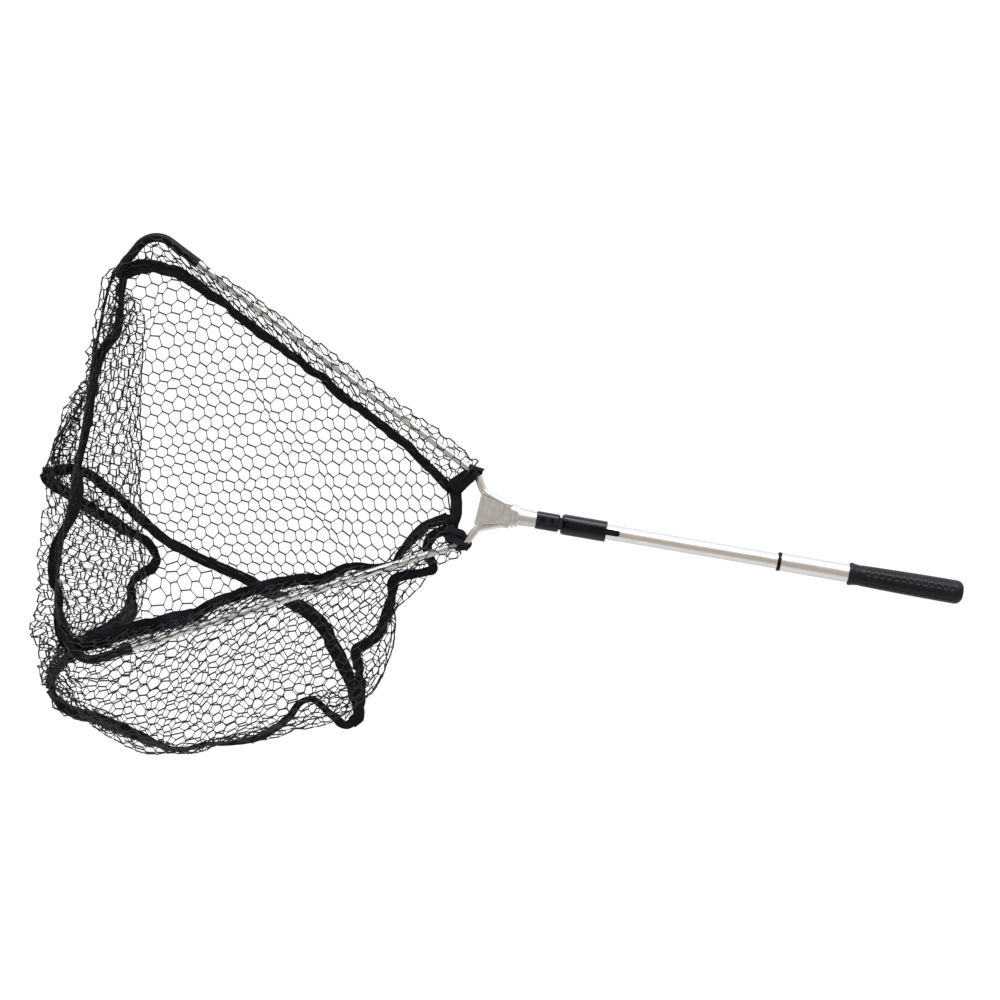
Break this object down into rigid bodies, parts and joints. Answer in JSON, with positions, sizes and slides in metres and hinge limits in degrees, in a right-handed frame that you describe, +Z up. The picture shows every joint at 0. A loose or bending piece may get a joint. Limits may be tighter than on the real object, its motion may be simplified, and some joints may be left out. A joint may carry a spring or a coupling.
{
  "type": "landing net",
  "caption": "Folding landing net: telescopic twist-lock pole, flip-over head, triangular hoop with fold-in arms and a hanging net bag.",
  "frame": {"origin": "on the pole's axis at the middle of the grip", "axes": "+X along the pole towards the butt of the grip, +Z up in the plane of the hoop, the bag behind the hoop on the +Y side"},
  "size_m": [1.3006, 0.2105, 0.7188],
  "materials": {
    "pole_aluminium": "satin",
    "arm_aluminium": "satin",
    "cast_aluminium": "matte",
    "black_plastic": "matte",
    "gloss_black_plastic": "satin",
    "grip_rubber": "satin",
    "white_nylon": "matte",
    "steel": "satin",
    "net_rubber": "matte",
    "tape_webbing": "matte",
    "cord_braid": "matte"
  },
  "bodies": {
    "handle": {"outer_tube": "pole_aluminium", "collar_ring": "black_plastic", "grip": "grip_rubber", "tube_end_plug": "black_plastic"},
    "expander": {"lock_expander": "white_nylon"},
    "inner_pole": {"inner_tube": "pole_aluminium", "lock_plug": "white_nylon", "lock_retainer": "white_nylon", "lock_housing": "gloss_black_plastic", "hinge_pin": "steel", "housing_pins": "steel", "latch_spring": "steel"},
    "latch": {"latch_slider": "black_plastic"},
    "head": {"knuckle": "gloss_black_plastic", "knuckle_screws": "steel", "yoke_casting": "cast_aluminium", "yoke_front_plate": "cast_aluminium", "yoke_back_plate": "cast_aluminium", "arm_pivot_rivets": "steel", "net_far_wall": "net_rubber", "net_front_wall": "net_rubber", "net_lower_wall": "net_rubber", "net_bottom_panel": "net_rubber", "hem_tape_upper": "tape_webbing", "hem_tape_front": "tape_webbing", "hem_tape_lower": "tape_webbing", "base_tape_upper": "tape_webbing", "base_tape_lower": "tape_webbing", "base_tape_front": "tape_webbing", "corner_tape": "tape_webbing"},
    "upper_arm": {"upper_arm_tube": "arm_aluminium", "upper_elbow": "black_plastic", "upper_net_sleeve": "net_rubber", "upper_tie": "tape_webbing", "front_cord": "cord_braid", "front_net_sleeve": "net_rubber"},
    "lower_arm": {"lower_arm_tube": "arm_aluminium", "lower_elbow": "black_plastic", "lower_net_sleeve": "net_rubber", "lower_tie": "tape_webbing"}
  },
  "joints": [
    {"name": "pole_slide", "type": "slide", "parent": "handle", "child": "expander", "axis": [1, 0, 0], "range_m": [0, 0.175]},
    {"name": "pole_twist", "type": "hinge", "parent": "expander", "child": "inner_pole", "pos_m": [-0.14, 0, 0], "axis": [1, 0, 0], "range_deg": [0, 120]},
    {"name": "latch_slide", "type": "slide", "parent": "inner_pole", "child": "latch", "axis": [1, 0, 0], "range_m": [0, 0.006], "stiffness_N_per_m": 400, "springref_m": -0.004, "deforming": ["latch_spring"]},
    {"name": "head_flip", "type": "hinge", "parent": "inner_pole", "child": "head", "pos_m": [-0.491, -0.015, 0], "axis": [0, 0, 1], "range_deg": [0, 180]},
    {"name": "upper_arm_fold", "type": "hinge", "parent": "head", "child": "upper_arm", "pos_m": [-0.566, 0, 0.0115], "axis": [0, -1, 0], "range_deg": [0, 20], "deforming": ["front_cord", "front_net_sleeve"]},
    {"name": "lower_arm_fold", "type": "hinge", "parent": "head", "child": "lower_arm", "pos_m": [-0.566, 0, -0.0115], "axis": [0, 1, 0], "range_deg": [0, 20]}
  ],
  "couplings": [
    {"joint": "lower_arm_fold", "follows": "upper_arm_fold", "ratio": 1}
  ]
}
